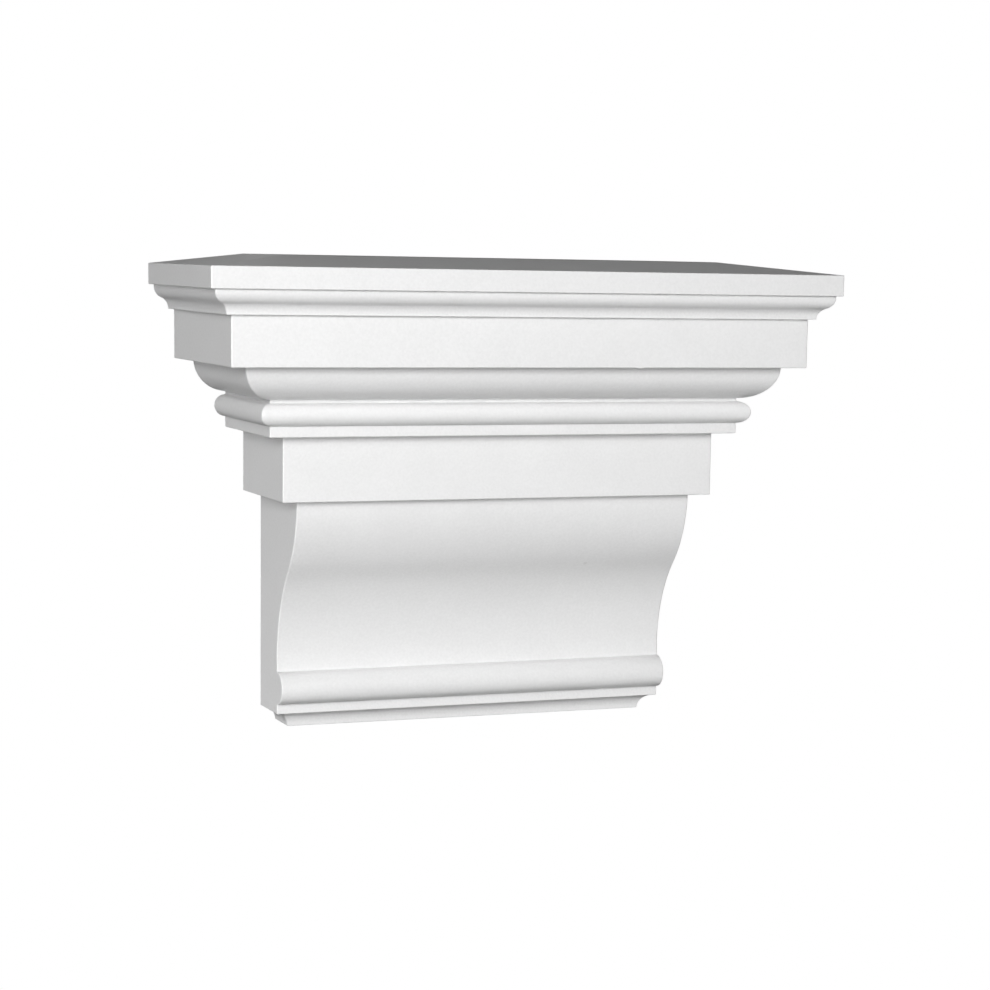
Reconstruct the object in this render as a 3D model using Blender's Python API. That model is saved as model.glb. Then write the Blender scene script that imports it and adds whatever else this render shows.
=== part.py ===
# Wall corbel, moulded in one piece and primed white.
# Metres, +Z up, X along the wall, the front faces -Y and the flat back lies in the plane Y = 0.
# The origin is on the back, on its centre line and half way between the top and the foot.
#
# The mouldings return round both sides at the same inset as on the front. So the solid is what two
# extruded outlines share: the side outline runs across the width, the front outline runs back to the
# wall, and their meeting faces give the mitres and the hips of the sloping top.
import math

import bmesh
import bpy
from mathutils import Matrix

MM = 0.001

# Overall size at the cap.
WIDTH = 400 * MM
DEPTH = 146.2 * MM

# Levels, measured down from the cap's upper edge.
TOP_RISE = 6.6 * MM             # the sloping margin climbs this far above the cap
CAP_FOOT = 12.8 * MM
FASCIA_TOP = 27.5 * MM
FASCIA_FOOT = 57.5 * MM
NECK_TOP = 77.6 * MM
BEAD_TOP = 79.7 * MM
BEAD_CREST = 86.3 * MM
BEAD_FOOT = 93.2 * MM
FRIEZE_TOP = 99.9 * MM
FRIEZE_FOOT = 139.5 * MM
BODY_FOOT = 249.3 * MM          # crease between the swept body and its lower bead
LOWER_BEAD_CREST = 259.8 * MM
LOWER_BEAD_FOOT = 269.8 * MM
COVE_TOP = 276.0 * MM

# Insets from the cap's faces, the same on the front and on both sides.
OGEE_INSET = 3.3 * MM
FASCIA_INSET = 15.9 * MM
OVOLO_INSET = 27.7 * MM
BEAD_INSET = 41.0 * MM
NECK_INSET = 48.0 * MM
FRIEZE_INSET = 59.4 * MM

# Ogee under the cap: a convex arc over a hollow one, both turning by the same angle.
OGEE_LEAD = 1.2 * MM            # upright run before the convex arc
OGEE_UPPER_RADIUS = 7.2 * MM
OGEE_LOWER_RADIUS = 6.9 * MM
OGEE_ANGLE = math.radians(68)

# Body: flat sides, and a front that sweeps in along an S from the frieze to the lower bead.
BODY_HALF_WIDTH = 129.3 * MM
SWEEP_TOP_DEPTH = 78.4 * MM     # from the wall to the front of the sweep's upper end
SWEEP_LEAD = 3.2 * MM           # the upper arc's own start lies this far above the frieze's foot
SWEEP_UPPER_RADIUS = 71.0 * MM
SWEEP_LOWER_RADIUS = 83.4 * MM
SWEEP_STRAIGHT = 6.0 * MM
SWEEP_ANGLE = math.radians(41.2)

# Lower bead, the plain band under it, and the cove that ends the corbel.
LOWER_BEAD_DEPTH = 47.3 * MM
BAND_DEPTH = 36.6 * MM
COVE_RADIUS = 9.5 * MM

ARC_STEP = math.radians(5)      # an arc has a point at least this often
SWEEP_STEP = math.radians(2.5)
OVERRUN = 10 * MM               # how far an extruded outline runs past the other one
WELD = 0.00001

# A flat outline's first, second and extruded axes, stood up square to the wall. The entries are
# whole numbers, so that the level soffits of both outlines lie in exactly the same planes.
FACE_X = Matrix(((0, 0, 1, 0), (1, 0, 0, 0), (0, 1, 0, 0), (0, 0, 0, 1)))
FACE_FRONT = Matrix(((1, 0, 0, 0), (0, 0, -1, 0), (0, 1, 0, 0), (0, 0, 0, 1)))

CAP_EDGE = (COVE_TOP + COVE_RADIUS - TOP_RISE) / 2      # height of the cap's upper edge
SWEEP_FOOT_DEPTH = (
    SWEEP_TOP_DEPTH
    - (SWEEP_UPPER_RADIUS + SWEEP_LOWER_RADIUS) * (1 - math.cos(SWEEP_ANGLE))
    - SWEEP_STRAIGHT * math.sin(SWEEP_ANGLE)
)


def arc(centre, radius, start, end, step=ARC_STEP):
    """Points on an arc about a centre, with angles from the first axis towards the second."""
    count = max(2, math.ceil(abs(end - start) / step))
    angles = [start + (end - start) * i / count for i in range(count + 1)]
    return [(centre[0] + radius * math.cos(a), centre[1] + radius * math.sin(a)) for a in angles]


def ogee_points():
    """Inset and level down the ogee: it leaves the cap upright and ends upright again."""
    turn = OGEE_ANGLE
    upper_centre = (OGEE_INSET + OGEE_UPPER_RADIUS, CAP_FOOT + OGEE_LEAD)
    upper = arc(upper_centre, OGEE_UPPER_RADIUS, math.pi, math.pi - turn)
    reach = OGEE_UPPER_RADIUS + OGEE_LOWER_RADIUS
    lower_centre = (
        upper_centre[0] - reach * math.cos(turn),
        upper_centre[1] + reach * math.sin(turn),
    )
    lower = arc(lower_centre, OGEE_LOWER_RADIUS, -turn, 0)
    foot = (lower[-1][0], FASCIA_TOP)
    return [(OGEE_INSET, CAP_FOOT)] + upper + lower[1:] + [foot]


def ovolo_points():
    """Inset and level down the ovolo, a quarter round from its upright top to the neck."""
    radius = NECK_INSET - OVOLO_INSET
    quarter = arc((NECK_INSET, NECK_TOP - radius), radius, math.pi, math.pi / 2)
    return [(OVOLO_INSET, FASCIA_FOOT)] + quarter


def swell_points(top, crest, foot):
    """A bead through its top, crest and foot: a quarter of an ellipse above the crest, one below."""
    upper = [
        (top[0] + (crest[0] - top[0]) * u, crest[1] + (crest[1] - top[1]) * v)
        for u, v in arc((0, 0), 1, -0.5 * math.pi, 0)
    ]
    lower = [
        (foot[0] + (crest[0] - foot[0]) * u, crest[1] + (foot[1] - crest[1]) * v)
        for u, v in arc((0, 0), 1, 0, 0.5 * math.pi)
    ]
    return upper + lower[1:]


def bead_points():
    """Inset and level round the bead under the neck."""
    return swell_points((NECK_INSET, BEAD_TOP), (BEAD_INSET, BEAD_CREST), (NECK_INSET, BEAD_FOOT))


def crown_points():
    """Inset and level from the top's flat seat down to the frieze's foot."""
    points = [(FRIEZE_INSET, -TOP_RISE), (0, 0), (0, CAP_FOOT)]
    points += ogee_points()
    points += [(FASCIA_INSET, FASCIA_TOP), (FASCIA_INSET, FASCIA_FOOT)]
    points += ovolo_points()
    points += bead_points()
    points += [(NECK_INSET, FRIEZE_TOP), (FRIEZE_INSET, FRIEZE_TOP), (FRIEZE_INSET, FRIEZE_FOOT)]
    return points


def sweep_points():
    """Depth and level down the body's front: a round arc, a short straight, a hollow arc."""
    turn = SWEEP_ANGLE
    start = FRIEZE_FOOT - SWEEP_LEAD
    first = math.asin(SWEEP_LEAD / SWEEP_UPPER_RADIUS)
    upper_centre = (SWEEP_TOP_DEPTH - SWEEP_UPPER_RADIUS, start)
    upper = arc(upper_centre, SWEEP_UPPER_RADIUS, first, turn, SWEEP_STEP)
    joint = (
        upper[-1][0] - SWEEP_STRAIGHT * math.sin(turn),
        upper[-1][1] + SWEEP_STRAIGHT * math.cos(turn),
    )
    lower_centre = (
        joint[0] + SWEEP_LOWER_RADIUS * math.cos(turn),
        joint[1] + SWEEP_LOWER_RADIUS * math.sin(turn),
    )
    lower = arc(lower_centre, SWEEP_LOWER_RADIUS, math.pi + turn, math.pi, SWEEP_STEP)
    return upper + lower


def lower_bead_points():
    """Depth and level round the bead at the body's foot."""
    return swell_points(
        (BAND_DEPTH, BODY_FOOT),
        (LOWER_BEAD_DEPTH, LOWER_BEAD_CREST),
        (BAND_DEPTH, LOWER_BEAD_FOOT),
    )


def cove_points(face):
    """Distance and level down the cove under a face: a hollow quarter that ends upright."""
    return arc((face, COVE_TOP + COVE_RADIUS), COVE_RADIUS, -0.5 * math.pi, -math.pi)


def side_outline():
    """Y and Z of the corbel seen from its side, closed by the flat back."""
    profile = [(DEPTH - inset, level) for inset, level in crown_points()]
    profile += sweep_points()
    profile += [(SWEEP_FOOT_DEPTH, BODY_FOOT)]
    profile += lower_bead_points()
    profile += cove_points(BAND_DEPTH)
    foot = profile[-1][1]
    corners = [(0, foot), (0, -TOP_RISE)]
    return [(-depth, CAP_EDGE - level) for depth, level in profile + corners]


def front_outline():
    """X and Z of the corbel seen from the front, run on past the seat and the foot."""
    half = [(WIDTH / 2 - inset, level) for inset, level in crown_points()[1:]]
    half += [(BODY_HALF_WIDTH, FRIEZE_FOOT)]
    half += cove_points(BODY_HALF_WIDTH)
    half += [(half[-1][0], half[-1][1] + OVERRUN)]
    slope = TOP_RISE / FRIEZE_INSET
    peak = (FRIEZE_INSET + OVERRUN, -(FRIEZE_INSET + OVERRUN) * slope)
    half.insert(0, (WIDTH / 2 - peak[0], peak[1]))
    right = [(x, CAP_EDGE - level) for x, level in half]
    left = [(-x, z) for x, z in reversed(right)]
    return right + left


def extrude_outline(name, points, thickness, stand, collection):
    """A closed solid: the outline drawn flat, extruded half to each side, then stood up."""
    curve = bpy.data.curves.new(name, "CURVE")
    curve.dimensions = "2D"
    curve.fill_mode = "BOTH"
    curve.extrude = thickness / 2
    spline = curve.splines.new("POLY")
    spline.points.add(len(points) - 1)
    for point, (u, v) in zip(spline.points, points):
        point.co = (u, v, 0, 1)
    spline.use_cyclic_u = True
    outline = bpy.data.objects.new(name + "_outline", curve)
    collection.objects.link(outline)
    bpy.context.view_layer.update()

    evaluated = outline.evaluated_get(bpy.context.evaluated_depsgraph_get())
    mesh = bpy.data.meshes.new_from_object(evaluated)
    shape = bmesh.new()
    shape.from_mesh(mesh)
    bmesh.ops.remove_doubles(shape, verts=shape.verts, dist=WELD)
    bmesh.ops.recalc_face_normals(shape, faces=shape.faces)
    shape.to_mesh(mesh)
    shape.free()
    mesh.transform(outline.matrix_world @ stand)
    solid = bpy.data.objects.new(name, mesh)
    collection.objects.link(solid)
    bpy.data.objects.remove(outline)
    return solid


def primed_foam():
    """White primer over hard moulded foam: pale and matt."""
    material = bpy.data.materials.new("primed_foam")
    material.use_nodes = True
    shader = material.node_tree.nodes["Principled BSDF"]
    shader.inputs["Base Color"].default_value = (0.80, 0.80, 0.79, 1)
    shader.inputs["Roughness"].default_value = 0.6
    shader.inputs["Metallic"].default_value = 0
    return material


def new_collection(name):
    """A collection linked to the scene."""
    collection = bpy.data.collections.new(name)
    bpy.context.scene.collection.children.link(collection)
    return collection


def build_corbel():
    """The corbel: the side outline across its width, kept where the front outline covers it."""
    parts = new_collection("corbel")
    cutters = new_collection("cutters")
    corbel = extrude_outline("corbel", side_outline(), WIDTH + 2 * OVERRUN, FACE_X, parts)
    returns = extrude_outline(
        "returns_cutter", front_outline(), 2 * (DEPTH + OVERRUN), FACE_FRONT, cutters
    )
    returns.hide_render = True
    returns.display_type = "WIRE"

    # The two outlines share their level planes, where this solver leaves no open edges.
    keep = corbel.modifiers.new("returns", "BOOLEAN")
    keep.operation = "INTERSECT"
    keep.solver = "MANIFOLD"
    keep.object = returns
    corbel.data.materials.append(primed_foam())
    return corbel


for old in list(bpy.data.objects):
    bpy.data.objects.remove(old)
build_corbel()
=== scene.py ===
import math

import bpy
import numpy as np
from mathutils import Matrix, Vector


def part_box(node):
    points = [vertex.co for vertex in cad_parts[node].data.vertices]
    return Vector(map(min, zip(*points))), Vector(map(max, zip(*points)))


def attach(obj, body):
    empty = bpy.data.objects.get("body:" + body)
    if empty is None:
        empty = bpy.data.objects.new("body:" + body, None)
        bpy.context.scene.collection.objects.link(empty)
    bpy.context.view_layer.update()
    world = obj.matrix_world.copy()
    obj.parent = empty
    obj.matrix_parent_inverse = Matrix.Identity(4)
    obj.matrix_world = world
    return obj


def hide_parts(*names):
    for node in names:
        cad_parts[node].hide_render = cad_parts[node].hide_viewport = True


# A wall corbel, moulded in one piece of hard foam and primed white.
# Metres, +Z up. X runs along the wall, the front faces -Y and the flat back lies in Y = 0.

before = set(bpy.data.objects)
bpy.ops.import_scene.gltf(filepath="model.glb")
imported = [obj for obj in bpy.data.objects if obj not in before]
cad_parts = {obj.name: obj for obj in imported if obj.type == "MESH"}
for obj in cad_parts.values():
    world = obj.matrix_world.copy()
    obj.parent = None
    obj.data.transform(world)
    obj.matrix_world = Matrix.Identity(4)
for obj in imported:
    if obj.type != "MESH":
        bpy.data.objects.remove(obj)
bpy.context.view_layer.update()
cadLow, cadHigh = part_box("corbel")
mm = 0.001
print("frame loaded")


# Shared tools

def addNode(tree, kind, settings, inputs):
    # Adds a node, sets its own settings, and fills each input with a value or with another node's output.
    made = tree.nodes.new(kind)
    for name, value in settings.items():
        setattr(made, name, value)
    for name, value in inputs.items():
        if isinstance(value, bpy.types.NodeSocket):
            tree.links.new(value, made.inputs[name])
        else:
            made.inputs[name].default_value = value
    return made


def hexColour(text):
    # sRGB hex to linear: c / 12.92 up to 0.04045, and above it ((c + 0.055) / 1.055) to the power 2.4.
    c = np.array([int(text[i:i + 2], 16) for i in (0, 2, 4)]) / 255
    linear = np.where(c <= 0.04045, c / 12.92, ((c + 0.055) / 1.055) ** 2.4)
    return (*linear.tolist(), 1.0)


def newMaterial(name):
    # A material with an empty node tree but for its output, which is returned beside the tree.
    material = bpy.data.materials.new(name)
    material.use_nodes = True
    tree = material.node_tree
    tree.nodes.clear()
    output = tree.nodes.new("ShaderNodeOutputMaterial")
    return material, tree, output


def newObject(name, points, faces):
    # An object in the scene with the given points and faces, shaded smooth.
    mesh = bpy.data.meshes.new(name)
    mesh.from_pydata(points, [], faces)
    mesh.shade_smooth()
    made = bpy.data.objects.new(name, mesh)
    bpy.context.scene.collection.objects.link(made)
    return made


# Outline tools: outlines are arrays of (distance, level) pairs

def arc(centre, radius, start, end, step):
    # centre + radius (cos a, sin a), with the angle a going from start to end, in degrees, in equal steps.
    count = max(2, math.ceil(abs(end - start) / step))
    a = np.radians(np.linspace(start, end, count + 1))
    return np.column_stack((centre[0] + radius * np.cos(a), centre[1] + radius * np.sin(a)))


def swell(top, crest, foot, step):
    # A bead through three (distance, level) points, of two quarter ellipses that meet at the crest: its
    # distance is end + (crest - end) cos a, its level crest + |crest - end| sin a, with the nearer end.
    # The three points next to the top are left out, which makes room for the softened crease there.
    a = np.radians(np.linspace(-90, 90, 2 * math.ceil(90 / step) + 1))[:, None]
    top, crest, foot = np.array(top), np.array(crest), np.array(foot)
    end = np.where(a < 0, top, foot)
    bead = np.column_stack((
        (end + (crest - end) * np.cos(a))[:, 0],
        (crest + abs(crest - end) * np.sin(a))[:, 1],
    ))
    return np.delete(bead, (1, 2, 3), axis=0)


def softened(points, radii, steps):
    # A corner with a radius r becomes the arc that touches both its sides. Its sides run along the unit
    # vectors u and v and turn by t, so the arc starts r tan(t/2) before the corner. At the share s of the
    # turn it is at start + r (sin(s t) u + (1 - cos(s t)) w), where w = (v - u cos t) / sin t.
    here = points[1:-1]
    u = here - points[:-2]
    v = points[2:] - here
    u /= np.linalg.norm(u, axis=1, keepdims=True)
    v /= np.linalg.norm(v, axis=1, keepdims=True)
    r = radii[1:-1]
    cosTurn = np.clip((u * v).sum(axis=1), -1, 1)
    turn = np.arccos(cosTurn)
    w = (v - u * cosTurn[:, None]) / np.maximum(np.sin(turn), 1e-9)[:, None]
    start = here - u * (r * np.tan(turn / 2))[:, None]
    a = (turn[:, None] * np.linspace(0, 1, steps + 1))[:, :, None]
    arcs = start[:, None] + r[:, None, None] * (np.sin(a) * u[:, None] + (1 - np.cos(a)) * w[:, None])
    keep = np.ones(arcs.shape[:2], bool)
    keep[r == 0, 1:] = False
    return np.vstack((points[:1], arcs[keep], points[-1:]))


def subdivided(points, longest):
    # Long runs get equal steps: a run from p to q of n steps holds p + (q - p) k / n, with k from 0 up
    # to n - 1.
    runs = np.diff(points, axis=0)
    counts = np.maximum(1, np.ceil(np.linalg.norm(runs, axis=1) / longest)).astype(int)
    first = np.repeat(np.arange(len(runs)), counts)
    k = np.arange(counts.sum()) - np.repeat(np.cumsum(counts) - counts, counts)
    share = (k / counts[first])[:, None]
    return np.vstack((points[first] + runs[first] * share, points[-1:]))


# Corbel: the profile, in mm. Levels go down from the cap's upper edge, insets go in from its faces.

corbel = {
    "topRise": 6.6,           # the sloping margin climbs this far to the flat seat
    "capFoot": 12.8,
    "fasciaTop": 27.5,
    "fasciaFoot": 57.5,
    "neckTop": 77.6,
    "beadTop": 79.7,
    "beadCrest": 86.3,
    "beadFoot": 93.2,
    "friezeTop": 99.9,
    "friezeFoot": 139.5,
    "bodyFoot": 249.3,        # crease between the swept body and its lower bead
    "lowerBeadCrest": 259.8,
    "lowerBeadFoot": 269.8,
    "coveTop": 276.0,
    "ogeeInset": 3.3,
    "fasciaInset": 15.9,
    "ovoloInset": 27.7,
    "beadInset": 41.0,
    "neckInset": 48.0,
    "friezeInset": 59.4,
    "bodyInset": 70.7,        # the body's sides only, its front has the sweep
    "ogeeLead": 1.2,          # upright run before the ogee's convex arc
    "ogeeUpperRadius": 7.2,
    "ogeeLowerRadius": 6.9,
    "ogeeTurn": 68,           # degrees that each arc of the ogee turns
    "sweepTopDepth": 78.4,    # from the wall to the front of the sweep's upper end
    "sweepLead": 3.2,         # the upper arc's own start lies this far above the frieze's foot
    "sweepUpperRadius": 71.0,
    "sweepLowerRadius": 83.4,
    "sweepStraight": 6.0,
    "sweepTurn": 41.2,        # degrees that each arc of the sweep turns
    "lowerBeadDepth": 47.3,
    "bandDepth": 36.6,
    "coveRadius": 9.5,
    "arrisRadius": 0.55,      # the mould and the primer round every outer edge by this much
    "creaseRadius": 0.3,      # primer gathers in the inner corners
    "beadCrease": 1.1,        # and more of it over the beads
    "cornerRadius": 0.8,      # upright edges at the two front corners
    "roundStep": 4,           # degrees between points on the mouldings
    "sweepStep": 2,
    "softSteps": 4,
    "longestRun": 6.0,
    "frontSteps": 40,         # along each half of the front
    "sideSteps": 22,
    "sharpFrom": 35,          # degrees between faces from which an edge is drawn sharp
    "burrPlace": (70.8, -130.2, 82.0),     # on the fascia's lower arris: X, Y and Z
    "burrWidth": 1.5,         # from its middle to where it has fallen to 37 per cent
    "burrDrop": 0.6,
    "burrPoints": 11,         # extra points along the front, over two widths each way
}


def crownProfile(c):
    # Inset and level from the seat's rim to the frieze's foot: straight runs between the ogee (a convex
    # arc, then a hollow one of the same turn), the ovolo (a quarter round) and the bead.
    turn = c["ogeeTurn"]
    upperCentre = np.array((c["ogeeInset"] + c["ogeeUpperRadius"], c["capFoot"] + c["ogeeLead"]))
    reach = c["ogeeUpperRadius"] + c["ogeeLowerRadius"]
    a = math.radians(turn)
    lowerCentre = upperCentre + reach * np.array((-math.cos(a), math.sin(a)))
    upper = arc(upperCentre, c["ogeeUpperRadius"], 180, 180 - turn, c["roundStep"])
    lower = arc(lowerCentre, c["ogeeLowerRadius"], -turn, 0, c["roundStep"])
    ovoloRadius = c["neckInset"] - c["ovoloInset"]
    ovolo = arc((c["neckInset"], c["neckTop"] - ovoloRadius), ovoloRadius, 180, 90, c["roundStep"])
    neck, crest = c["neckInset"], (c["beadInset"], c["beadCrest"])
    bead = swell((neck, c["beadTop"]), crest, (neck, c["beadFoot"]), c["roundStep"])
    ogeeFoot = lower[-1, 0]
    arris, crease = c["arrisRadius"], c["creaseRadius"]
    corners = np.array((
        (c["friezeInset"], -c["topRise"], 0),
        (0, 0, arris),
        (0, c["capFoot"], arris),
        (c["ogeeInset"], c["capFoot"], crease),
        (ogeeFoot, c["fasciaTop"], arris / 2),
        (c["fasciaInset"], c["fasciaTop"], crease),
        (c["fasciaInset"], c["fasciaFoot"] - 2 * arris, 0),
        (c["fasciaInset"], c["fasciaFoot"], arris),
        (c["fasciaInset"] + 2 * arris, c["fasciaFoot"], 0),
        (c["ovoloInset"], c["fasciaFoot"], crease / 2),
        (c["neckInset"], c["friezeTop"], arris),
        (c["friezeInset"], c["friezeTop"], crease),
        (c["friezeInset"], c["friezeFoot"], arris),
        (c["bodyInset"] - 2 * crease, c["friezeFoot"], 0),
    ))
    smooth = [np.column_stack((run, np.zeros(len(run)))) for run in (upper, lower[1:], ovolo, bead)]
    smooth[2][-1, 2] = crease
    smooth[3][0, 2], smooth[3][-1, 2] = c["beadCrease"], crease
    whole = np.vstack((
        corners[:4], smooth[0], smooth[1], corners[4:10], smooth[2], smooth[3], corners[10:],
    ))
    return subdivided(softened(whole[:, :2], whole[:, 2], c["softSteps"]), c["longestRun"])


def bodyProfile(c):
    # Depth and level down the body's front: the sweep (a round arc, a short straight, a hollow arc), the
    # lower bead, the plain band, and the cove (a hollow quarter) down to the foot.
    turn = c["sweepTurn"]
    across, down = math.sin(math.radians(turn)), math.cos(math.radians(turn))
    lead = math.degrees(math.asin(c["sweepLead"] / c["sweepUpperRadius"]))
    upperCentre = (c["sweepTopDepth"] - c["sweepUpperRadius"], c["friezeFoot"] - c["sweepLead"])
    upper = arc(upperCentre, c["sweepUpperRadius"], lead, turn, c["sweepStep"])
    joint = upper[-1] + c["sweepStraight"] * np.array((-across, down))
    lowerCentre = joint + c["sweepLowerRadius"] * np.array((down, across))
    lower = arc(lowerCentre, c["sweepLowerRadius"], 180 + turn, 180, c["sweepStep"])
    band, crest = c["bandDepth"], (c["lowerBeadDepth"], c["lowerBeadCrest"])
    bead = swell((band, c["bodyFoot"]), crest, (band, c["lowerBeadFoot"]), c["roundStep"])
    foot = c["coveTop"] + c["coveRadius"]
    cove = arc((c["bandDepth"], foot), c["coveRadius"], -90, -180, c["roundStep"])
    arris, crease = c["arrisRadius"], c["creaseRadius"]
    start = upper[0] + (2 * crease, 0)
    end = cove[-1] - (2 * arris, 0)
    plain = [np.column_stack((run, np.zeros(len(run)))) for run in (upper, lower, bead, cove)]
    plain[0][0, 2] = crease
    plain[1][-1] = (c["bandDepth"], c["bodyFoot"], c["beadCrease"])
    plain[2] = plain[2][1:]
    plain[2][-1, 2] = crease
    plain[3][0, 2] = plain[3][-1, 2] = arris
    whole = np.vstack((
        (*start, 0), plain[0], plain[1], plain[2], plain[3], (*end, 0),
    ))
    return subdivided(softened(whole[:, :2], whole[:, 2], c["softSteps"]), c["longestRun"])


def corbelRows(c):
    # Half width, depth and height of every level ring. On the crown both follow the inset. On the body the
    # half width is constant, but it follows the front's crease at the top and the front's cove at the foot.
    halfWidth, depth = cadHigh.x / mm, -cadLow.y / mm
    capEdge = cadHigh.z / mm - c["topRise"]
    inset, crownLevel = crownProfile(c)[:-1].T     # on the sides its last ring is the body's first
    bodyDepth, bodyLevel = bodyProfile(c).T
    bodyHalf = halfWidth - c["bodyInset"]
    upperRadius = c["sweepUpperRadius"]
    sweepStart = c["sweepTopDepth"] - upperRadius + math.sqrt(upperRadius ** 2 - c["sweepLead"] ** 2)
    inCrease = bodyLevel < c["friezeFoot"] + c["creaseRadius"]
    gather = np.where(inCrease, np.maximum(bodyDepth - sweepStart, 0), 0)
    hollow = np.where(bodyLevel > c["coveTop"] - c["arrisRadius"], c["bandDepth"] - bodyDepth, 0)
    half = np.concatenate((halfWidth - inset, bodyHalf + gather - hollow))
    out = np.concatenate((depth - inset, bodyDepth))
    height = capEdge - np.concatenate((crownLevel, bodyLevel))
    return half * mm, out * mm, height * mm


def pathAround(c):
    # The path round three sides of a ring, as shares of its half width and depth (along) and as the unit
    # normal that the corner radius is taken along (normal): left side, corner, front, corner, right side.
    s = np.linspace(0, 1, c["sideSteps"])[:-1]
    a = np.radians(np.linspace(180, 270, c["softSteps"] + 1))
    f = np.linspace(-1, 1, 2 * c["frontSteps"] + 1)[1:-1]
    fasciaHalf = cadHigh.x / mm - c["fasciaInset"]
    nearBurr = c["burrPlace"][0] + np.linspace(-2, 2, c["burrPoints"]) * c["burrWidth"]
    f = np.union1d(f, nearBurr / fasciaHalf)
    left = np.column_stack((-np.ones_like(s), s, -np.ones_like(s), np.zeros_like(s)))
    corner = np.column_stack((-np.ones_like(a), np.ones_like(a), np.cos(a), -np.sin(a)))
    front = np.column_stack((f, np.ones_like(f), np.zeros_like(f), np.ones_like(f)))
    mirrored = np.array((-1, 1, -1, 1))
    path = np.vstack((left, corner, front, corner[::-1] * mirrored, left[::-1] * mirrored))
    return path[:, :2], path[:, 2:]


def withBurr(points, c):
    # A tiny bulge that hangs from an arris: down and a little out by drop exp(-(d / width)²), where d is
    # the distance from the burr's place.
    away = np.linalg.norm(points - np.array(c["burrPlace"]) * mm, axis=-1)
    bulge = c["burrDrop"] * mm * np.exp(-(away / (c["burrWidth"] * mm)) ** 2)
    return points + bulge[..., None] * np.array((0, -0.3, -1))


def buildCorbel(c):
    # Point (i, j): x = (H - r) ax + r nx and y = -((P - r) ay + r ny), where ring i has the half width H and
    # the depth P, path point j has the shares a and the normal n, and r is the corner radius.
    half, out, height = corbelRows(c)
    along, normal = pathAround(c)
    r = c["cornerRadius"] * mm
    x = np.outer(half - r, along[:, 0]) + r * normal[:, 0]
    y = -(np.outer(out - r, along[:, 1]) + r * normal[:, 1])
    z = np.repeat(height[:, None], len(along), axis=1)
    y[:, 0] = y[:, -1] = 0
    points = withBurr(np.stack((x, y, z), axis=-1), c)

    rows, columns = x.shape
    index = np.arange(rows * columns).reshape(rows, columns)
    quads = np.stack((index[:-1, :-1], index[1:, :-1], index[1:, 1:], index[:-1, 1:]), axis=-1)
    seat, foot = index[0], index[-1, ::-1]
    back = np.concatenate((index[::-1, 0], index[:, -1]))
    faces = quads.reshape(-1, 4).tolist() + [seat.tolist(), foot.tolist(), back.tolist()]
    made = newObject("corbel_body", points.reshape(-1, 3), faces)
    made.data.polygons[len(faces) - 1].material_index = 1
    made.data.set_sharp_from_angle(angle=math.radians(c["sharpFrom"]))
    even = made.modifiers.new("even_shading", "WEIGHTED_NORMAL")
    even.keep_sharp = True
    print("corbel surface:", rows, "rings of", columns, "points")
    return made


finish = {
    "primer": "E1E1E1",
    "primerRoughness": 0.35,
    "primerIor": 1.5,
    "coatSpread": 0.012,       # share by which thick and thin spray passes differ in tone
    "coatPatch": 32.0,         # mm across such a patch
    "glossSpread": 0.05,
    "grainSize": 1.6,          # mm between the spray's dimples, sprayed primer has about 1 to 2
    "grainDepth": 0.04,        # mm, more would look rough where the light rakes
    "grainPaintedShade": 0.026,       # painted shade in the dimples and painted highlight on the bumps, as a share of the tone, drawn stronger to show
    "speckPlace": (66.9, -59.6, -45.0),     # a speck under the primer, on the sweep: X, Y and Z in mm
    "speckRadius": 2.1,
    "speckTone": 0.87,
    "foam": "DDD8CB",
    "foamRoughness": 0.85,
    "strokeLength": 45.0,      # mm along a sanding stroke
    "strokeWidth": 1.2,        # real scratches of about 0.3 mm are too fine to show and are drawn coarser
    "strokeDepth": 0.03,
    "poreSpacing": 3.0,        # mm between the cut bubbles
    "poreRadius": 0.45,
    # tone of the painted shade in the middles of the cut bubbles
    "porePaintedShade": 0.72,
}


def noiseTone(tree, where, patch, spread, detail):
    # A value that wanders between 1 - spread and 1 + spread over patches of the given size in mm.
    noise = addNode(tree, "ShaderNodeTexNoise", {}, {
        "Vector": where, "Scale": 1 / (patch * mm), "Detail": detail, "Roughness": 0.5,
    })
    return addNode(tree, "ShaderNodeMapRange", {}, {
        "Value": noise.outputs["Fac"], "From Min": 0.25, "From Max": 0.75,
        "To Min": 1 - spread, "To Max": 1 + spread,
    }).outputs["Result"]


def product(tree, first, second):
    # The product of two values, each of them fixed or varying.
    return addNode(tree, "ShaderNodeMath", {"operation": "MULTIPLY"}, {0: first, 1: second}).outputs["Value"]


def tinted(tree, text, tone):
    # A hex colour times a varying tone.
    return addNode(tree, "ShaderNodeVectorMath", {"operation": "SCALE"}, {
        "Vector": hexColour(text)[:3], "Scale": tone,
    }).outputs["Vector"]


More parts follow.
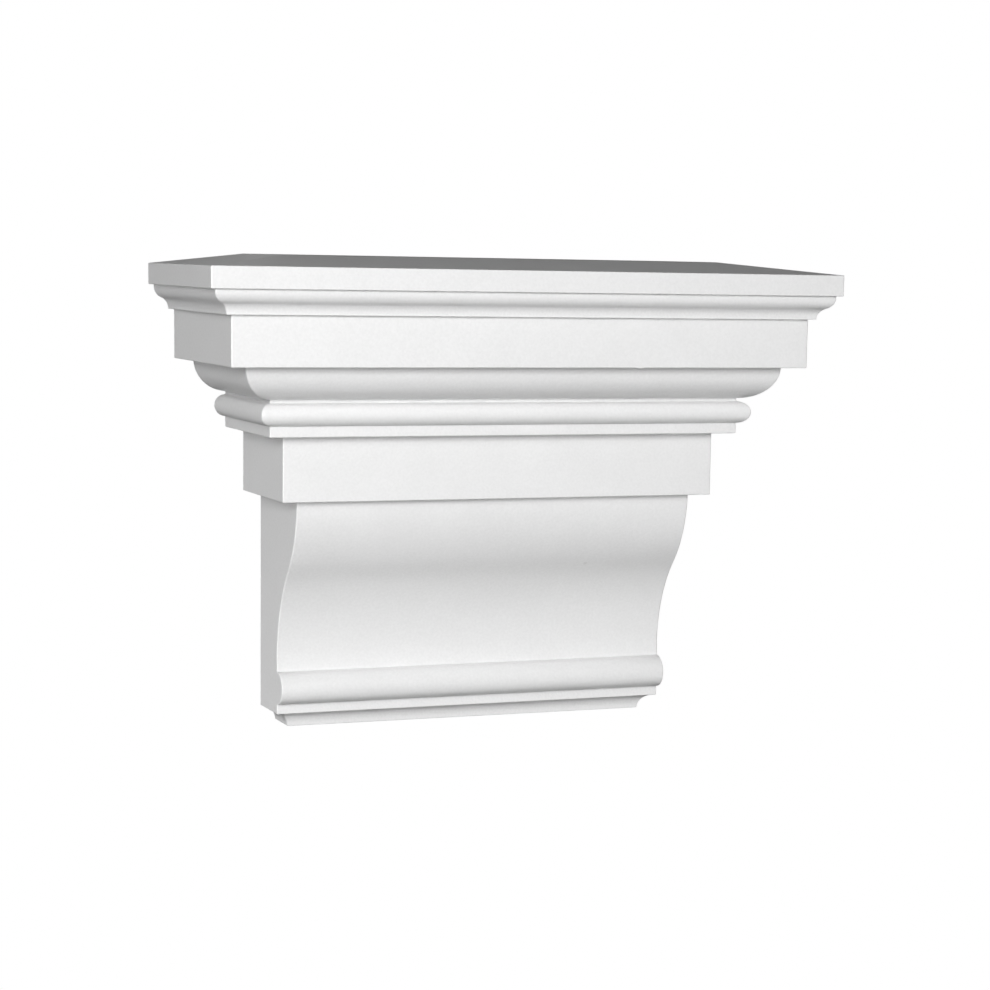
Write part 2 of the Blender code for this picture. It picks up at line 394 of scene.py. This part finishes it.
def primedFoam(f):
    # Water-based primer sprayed on moulded hard foam: a white, satin-matt skin. The eye gets the fine
    # grain of the spray, bumped and with painted shade in its dimples and painted highlight on its bumps,
    # a faint unevenness between its passes, and one speck that shows through.
    material, tree, output = newMaterial("primed_foam_spray_finish")
    where = addNode(tree, "ShaderNodeTexCoord", {}, {}).outputs["Object"]
    coat = noiseTone(tree, where, f["coatPatch"], f["coatSpread"], 2.0)
    away = addNode(tree, "ShaderNodeVectorMath", {"operation": "DISTANCE"}, {
        0: where, 1: [v * mm for v in f["speckPlace"]],
    }).outputs["Value"]
    speck = addNode(tree, "ShaderNodeMapRange", {"interpolation_type": "SMOOTHSTEP"}, {
        "Value": away, "From Min": 0.0, "From Max": f["speckRadius"] * mm,
        "To Min": f["speckTone"], "To Max": 1.0,
    }).outputs["Result"]
    gloss = noiseTone(tree, where, f["coatPatch"] / 2, f["glossSpread"], 1.0)
    # The spray's grain: a bump, and in the colour painted shade in the dimples and painted highlight on the
    # bumps.
    grainAndShade = noiseTone(tree, where, f["grainSize"], f["grainPaintedShade"], 1.0)
    bump = addNode(tree, "ShaderNodeBump", {}, {
        "Height": grainAndShade, "Strength": 1.0, "Distance": f["grainDepth"] * mm / (2 * f["grainPaintedShade"]),
    })
    shader = addNode(tree, "ShaderNodeBsdfPrincipled", {}, {
        "Base Color": tinted(tree, f["primer"], product(tree, product(tree, coat, grainAndShade), speck)),
        "Roughness": product(tree, gloss, f["primerRoughness"]),
        "IOR": f["primerIor"],
        "Normal": bump.outputs["Normal"],
    })
    tree.links.new(shader.outputs["BSDF"], output.inputs["Surface"])
    return material


def sandedFoam(f):
    # The back, sanded flat and left unpainted: cream hard foam. The eye gets dry matt colour, level sanding
    # strokes and small cut bubbles, dipped in and darkened with painted shade.
    material, tree, output = newMaterial("sanded_raw_foam")
    where = addNode(tree, "ShaderNodeTexCoord", {}, {}).outputs["Object"]
    stretched = addNode(tree, "ShaderNodeMapping", {}, {
        "Vector": where, "Scale": [1 / (f[k] * mm) for k in ("strokeLength", "strokeWidth", "strokeWidth")],
    })
    strokes = addNode(tree, "ShaderNodeTexNoise", {}, {
        "Vector": stretched.outputs["Vector"], "Scale": 1.0, "Detail": 2.0, "Roughness": 0.6,
    })
    bubbles = addNode(tree, "ShaderNodeTexVoronoi", {}, {
        "Vector": where, "Scale": 1 / (f["poreSpacing"] * mm),
    })
    radius = f["poreRadius"] / f["poreSpacing"]
    # The bubbles: dips in the bump, and painted shade that darkens their middles in the colour.
    poresAndShade = addNode(tree, "ShaderNodeMapRange", {"interpolation_type": "SMOOTHSTEP"}, {
        "Value": bubbles.outputs["Distance"], "From Min": 0.5 * radius, "From Max": 1.5 * radius,
        "To Min": f["porePaintedShade"], "To Max": 1.0,
    }).outputs["Result"]
    cloud = noiseTone(tree, where, 2 * f["coatPatch"], 2 * f["coatSpread"], 3.0)
    height = product(tree, strokes.outputs["Fac"], poresAndShade)
    bump = addNode(tree, "ShaderNodeBump", {}, {
        "Height": height, "Strength": 1.0, "Distance": f["strokeDepth"] * mm,
    })
    shader = addNode(tree, "ShaderNodeBsdfPrincipled", {}, {
        "Base Color": tinted(tree, f["foam"], product(tree, cloud, poresAndShade)),
        "Roughness": f["foamRoughness"],
        "Normal": bump.outputs["Normal"],
    })
    tree.links.new(shader.outputs["BSDF"], output.inputs["Surface"])
    return material


piece = buildCorbel(corbel)
piece.data.materials.append(primedFoam(finish))
piece.data.materials.append(sandedFoam(finish))
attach(piece, "root")
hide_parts("corbel")
print("corbel dressed")


# Studio: a pale floor that curves up all round, soft light, and the camera

studio = {
    "floorDrop": 0.80,        # metres from the corbel's middle down to the floor
    "holeRadius": 0.2,        # of the ring that the middle of the floor is closed by
    "flatRings": 13,
    "flatRadius": 2.6,
    "sweepRadius": 1.6,
    "wallTop": 9.0,           # so high that views from below still have it behind them
    "bendStep": 6,            # degrees between rings of the curve
    "turnStep": 5,            # degrees between points of a ring
    "glow": 1.0,
}


def buildFloor(s):
    # A profile turned about Z: flat to the radius F, a quarter round of radius R, then upright to the top.
    across = np.linspace(s["holeRadius"], s["flatRadius"], s["flatRings"])
    flat = np.column_stack((across, np.full(len(across), -s["floorDrop"])))
    centre = (s["flatRadius"], s["sweepRadius"] - s["floorDrop"])
    bend = arc(centre, s["sweepRadius"], -90, 0, s["bendStep"])
    wall = np.array([(bend[-1, 0], s["wallTop"])])
    radius, height = np.vstack((flat, bend[1:], wall)).T
    a = np.radians(np.arange(0, 360, s["turnStep"]))
    x, y = np.outer(radius, np.cos(a)), np.outer(radius, np.sin(a))
    z = np.repeat(height[:, None], len(a), axis=1)
    index = np.arange(x.size).reshape(x.shape)
    index = np.column_stack((index, index[:, 0]))
    quads = np.stack((index[:-1, :-1], index[1:, :-1], index[1:, 1:], index[:-1, 1:]), axis=-1)
    faces = quads.reshape(-1, 4).tolist() + [index[0, :-1].tolist()]
    made = newObject("floor", np.stack((x, y, z), axis=-1).reshape(-1, 3), faces)
    return made


def backlitPaper(s):
    # Seamless white paper, lit evenly from behind: it glows evenly and has no gloss.
    material, tree, output = newMaterial("backlit_seamless_paper")
    shader = addNode(tree, "ShaderNodeEmission", {}, {"Color": (1, 1, 1, 1), "Strength": s["glow"]})
    tree.links.new(shader.outputs["Emission"], output.inputs["Surface"])
    return material


floor = buildFloor(studio)
floor.data.materials.append(backlitPaper(studio))
floor.visible_diffuse = floor.visible_glossy = floor.visible_shadow = False     # only a ground to look at

world = bpy.data.worlds.new("dark_room")
world.use_nodes = True
world.node_tree.nodes["Background"].inputs["Color"].default_value = (1, 1, 1, 1)
world.node_tree.nodes["Background"].inputs["Strength"].default_value = 0.0
bpy.context.scene.world = world

softboxes = {
    # name: (azimuth and elevation in degrees, distance and side in metres, radiant power in watts)
    "key": (-20, 10, 2.5, 1.0, 42.2),
    "key_left": (-40, 10, 2.5, 1.0, 24.1),
    "key_high": (-40, 20, 2.5, 1.0, 11.4),
    "low_fill": (20, -75, 1.2, 0.6, 1.0),
    "right_fill": (50, -30, 1.2, 0.5, 1.25),
    "left_edge": (-115, -20, 0.6, 0.3, 0.7),
    "left_back": (-150, -20, 1.0, 0.4, 0.15),
    "behind": (178, 8, 2.5, 1.0, 1.28),
    "behind_right": (157, 5, 2.5, 1.0, 0.94),
}
hiddenSides = {    # the same, for the two sides that the camera can't see
    "right_side": (115, 5, 2.5, 1.0, 30.0),
    "back": (180, 0, 2.5, 1.0, 34.0),
}


def addSoftbox(name, azimuth, elevation, distance, side, power):
    # A square area light at distance (sin a cos e, -cos a cos e, sin e), turned to face the corbel's middle.
    a, e = math.radians(azimuth), math.radians(elevation)
    away = Vector((math.sin(a) * math.cos(e), -math.cos(a) * math.cos(e), math.sin(e)))
    light = bpy.data.lights.new(name, "AREA")
    light.shape = "SQUARE"
    light.size = side
    light.energy = power
    made = bpy.data.objects.new(name, light)
    made.location = away * distance
    made.rotation_euler = away.to_track_quat("Z", "Y").to_euler()
    made.visible_camera = False
    bpy.context.scene.collection.objects.link(made)
    return made


for name, values in softboxes.items():
    addSoftbox(name, *values)
for name, values in hiddenSides.items():
    addSoftbox(name, *values).visible_glossy = False     # or the left side would mirror the one behind

camera = {
    "place": (-0.58524, -1.58684, 0.14865),  # metres
    "yaw": 22.99,                            # degrees from +Y towards +X
    "pitch": -8.404,
    "roll": 1.067,
    "lens": 95.49,                           # mm on a 36 mm frame
    "shift": (-0.0835, 0.1500),              # the corbel lies above the middle of the frame
}


def addCamera(c):
    # Forward is (sin y cos p, cos y cos p, sin p) for the yaw y and the pitch p. Right is
    # (cos y, -sin y, 0), up is right x forward, and the roll turns both about forward.
    y, p, roll = (math.radians(c[k]) for k in ("yaw", "pitch", "roll"))
    forward = Vector((math.sin(y) * math.cos(p), math.cos(y) * math.cos(p), math.sin(p)))
    right = Vector((math.cos(y), -math.sin(y), 0))
    up = right.cross(forward)
    xAxis = math.cos(roll) * right + math.sin(roll) * up
    yAxis = math.cos(roll) * up - math.sin(roll) * right
    turned = Matrix((xAxis, yAxis, -forward)).transposed()
    data = bpy.data.cameras.new("camera")
    data.lens = c["lens"]
    data.sensor_width = 36
    data.shift_x, data.shift_y = c["shift"]
    made = bpy.data.objects.new("camera", data)
    made.matrix_world = Matrix.Translation(c["place"]) @ turned.to_4x4()
    bpy.context.scene.collection.objects.link(made)
    return made


bpy.context.scene.camera = addCamera(camera)
bpy.context.scene.view_settings.view_transform = "Standard"     # keeps the whites white
print("studio ready")
